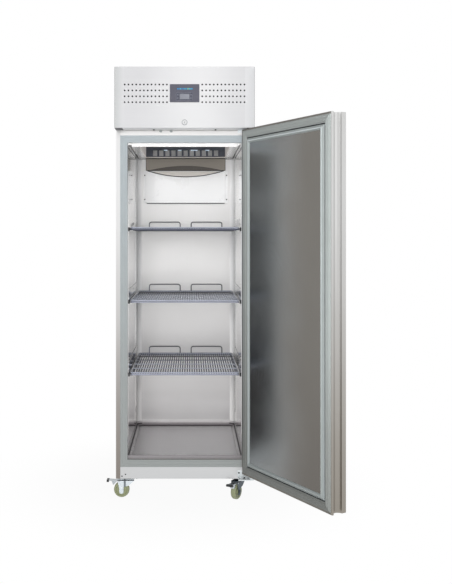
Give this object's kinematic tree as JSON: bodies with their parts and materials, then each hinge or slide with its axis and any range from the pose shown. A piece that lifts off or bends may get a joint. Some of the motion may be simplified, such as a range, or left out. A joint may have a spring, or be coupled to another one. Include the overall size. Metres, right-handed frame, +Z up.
{
  "type": "upright commercial freezer",
  "caption": "Upright stainless freezer with a solid door standing open, a perforated hood with its controller, coated wire shelves and swivel casters.",
  "frame": {"origin": "on the floor under the middle of the cabinet's plan, hood included", "axes": "+Z up, +Y from the door to the back, +X towards the hinge side"},
  "size_m": [1.0356, 1.3965, 2.064],
  "materials": {
    "stainless": "satin",
    "liner_steel": "satin",
    "wall_foam": "matte",
    "frame_grey": "satin",
    "zinc_plate": "satin",
    "black_plastic": "satin",
    "white_paint": "satin",
    "grille_grey": "satin",
    "fin_aluminium": "satin",
    "copper_pipe": "satin",
    "panel_slate": "satin",
    "display_glass": "gloss",
    "coated_wire": "gloss",
    "nylon_wheel": "satin",
    "gasket_vinyl": "matte",
    "compressor_black": "satin",
    "bright_steel": "gloss",
    "foam_housing": "satin"
  },
  "bodies": {
    "cabinet": {"outer_casing": "stainless", "insulation_foam": "wall_foam", "inner_liner": "liner_steel", "breaker_frame": "frame_grey", "front_rails": "stainless", "base_pan": "zinc_plate", "pilasters": "liner_steel", "shelf_slides": "liner_steel", "slide_end_stops": "black_plastic", "evaporator_housing": "foam_housing", "evaporator_grille": "grille_grey", "evaporator_coil": "fin_aluminium", "duct_deflector": "liner_steel", "duct_cover": "white_paint", "fan_motors": "black_plastic", "hood_fascia": "stainless", "hood_returns": "stainless", "unit_side_panels": "stainless", "unit_top_cover": "stainless", "unit_rear_grille": "stainless", "unit_chassis": "zinc_plate", "control_panel": "panel_slate", "display_window": "display_glass", "compressor": "compressor_black", "condenser_coil": "fin_aluminium", "condenser_shroud": "zinc_plate", "condensate_tray": "black_plastic", "pipework": "copper_pipe", "control_box": "frame_grey", "cable_gland": "black_plastic", "door_sensor": "frame_grey", "bottom_hinge": "zinc_plate", "top_hinge": "zinc_plate", "lock_housing": "zinc_plate", "cabinet_screws": "bright_steel", "caster_plates": "zinc_plate"},
    "door": {"door_skin": "stainless", "door_foam": "wall_foam", "door_inner_panel": "liner_steel", "door_inner_frame": "frame_grey", "door_gasket": "gasket_vinyl", "hinge_bushes": "black_plastic"},
    "lock_barrel": {"lock_barrel": "bright_steel"},
    "lock_bolt": {"lock_bolt": "zinc_plate"},
    "evaporator_fan": {"evaporator_fan": "black_plastic"},
    "condenser_fan": {"condenser_fan": "black_plastic"},
    "shelf_top": {"shelf_top": "coated_wire"},
    "shelf_middle": {"shelf_middle": "coated_wire"},
    "shelf_bottom": {"shelf_bottom": "coated_wire"},
    "caster_front_left": {"fork_front_left": "zinc_plate"},
    "roller_front_left": {"wheel_front_left": "nylon_wheel"},
    "caster_front_right": {"fork_front_right": "zinc_plate"},
    "roller_front_right": {"wheel_front_right": "nylon_wheel"},
    "caster_rear_left": {"fork_rear_left": "zinc_plate"},
    "roller_rear_left": {"wheel_rear_left": "nylon_wheel"},
    "caster_rear_right": {"fork_rear_right": "zinc_plate"},
    "roller_rear_right": {"wheel_rear_right": "nylon_wheel"},
    "pedal_left": {"brake_pedal_left": "zinc_plate"},
    "pedal_right": {"brake_pedal_right": "zinc_plate"}
  },
  "joints": [
    {"name": "door_hinge", "type": "hinge", "parent": "cabinet", "child": "door", "pos_m": [0.317, -0.391, 0.957], "axis": [0, 0, 1], "range_deg": [-120, 15]},
    {"name": "lock_turn", "type": "hinge", "parent": "cabinet", "child": "lock_barrel", "pos_m": [0, -0.4, 1.8008], "axis": [0, 1, 0], "range_deg": [0, 90]},
    {"name": "bolt_slide", "type": "slide", "parent": "cabinet", "child": "lock_bolt", "axis": [0, 0, -1], "range_m": [0, 0.0145]},
    {"name": "evaporator_fan_spin", "type": "hinge", "parent": "cabinet", "child": "evaporator_fan", "pos_m": [0, 0.027, 1.8557], "axis": [0, 1, 0], "continuous": true},
    {"name": "condenser_fan_spin", "type": "hinge", "parent": "cabinet", "child": "condenser_fan", "pos_m": [-0.02, -0.285, 1.9155], "axis": [0, 1, 0], "continuous": true},
    {"name": "shelf_top_slide", "type": "slide", "parent": "cabinet", "child": "shelf_top", "axis": [0, -1, 0], "range_m": [0, 0.3]},
    {"name": "shelf_middle_slide", "type": "slide", "parent": "cabinet", "child": "shelf_middle", "axis": [0, -1, 0], "range_m": [0, 0.3]},
    {"name": "shelf_bottom_slide", "type": "slide", "parent": "cabinet", "child": "shelf_bottom", "axis": [0, -1, 0], "range_m": [0, 0.3]},
    {"name": "swivel_front_left", "type": "hinge", "parent": "cabinet", "child": "caster_front_left", "pos_m": [-0.268, -0.285, 0.09], "axis": [0, 0, 1], "continuous": true},
    {"name": "roll_front_left", "type": "hinge", "parent": "caster_front_left", "child": "roller_front_left", "pos_m": [-0.306, -0.285, 0.0375], "axis": [0, -1, 0], "continuous": true},
    {"name": "swivel_front_right", "type": "hinge", "parent": "cabinet", "child": "caster_front_right", "pos_m": [0.268, -0.285, 0.09], "axis": [0, 0, 1], "continuous": true},
    {"name": "roll_front_right", "type": "hinge", "parent": "caster_front_right", "child": "roller_front_right", "pos_m": [0.24843, -0.31757, 0.0375], "axis": [0.8572, -0.515, 0], "continuous": true},
    {"name": "swivel_rear_left", "type": "hinge", "parent": "cabinet", "child": "caster_rear_left", "pos_m": [-0.268, 0.285, 0.09], "axis": [0, 0, 1], "continuous": true},
    {"name": "roll_rear_left", "type": "hinge", "parent": "caster_rear_left", "child": "roller_rear_left", "pos_m": [-0.249, 0.31791, 0.0375], "axis": [-0.866, 0.5, 0], "continuous": true},
    {"name": "swivel_rear_right", "type": "hinge", "parent": "cabinet", "child": "caster_rear_right", "pos_m": [0.268, 0.285, 0.09], "axis": [0, 0, 1], "continuous": true},
    {"name": "roll_rear_right", "type": "hinge", "parent": "caster_rear_right", "child": "roller_rear_right", "pos_m": [0.25194, 0.31944, 0.0375], "axis": [-0.9063, -0.4226, 0], "continuous": true},
    {"name": "brake_left", "type": "hinge", "parent": "caster_front_left", "child": "pedal_left", "pos_m": [-0.318, -0.285, 0.0803], "axis": [0, -1, 0], "range_deg": [0, 10]},
    {"name": "brake_right", "type": "hinge", "parent": "caster_front_right", "child": "pedal_right", "pos_m": [0.24225, -0.32786, 0.0803], "axis": [0.8572, -0.515, 0], "range_deg": [0, 10]}
  ],
  "couplings": [
    {"joint": "bolt_slide", "follows": "lock_turn", "m_per_rad": 0.0090032}
  ]
}
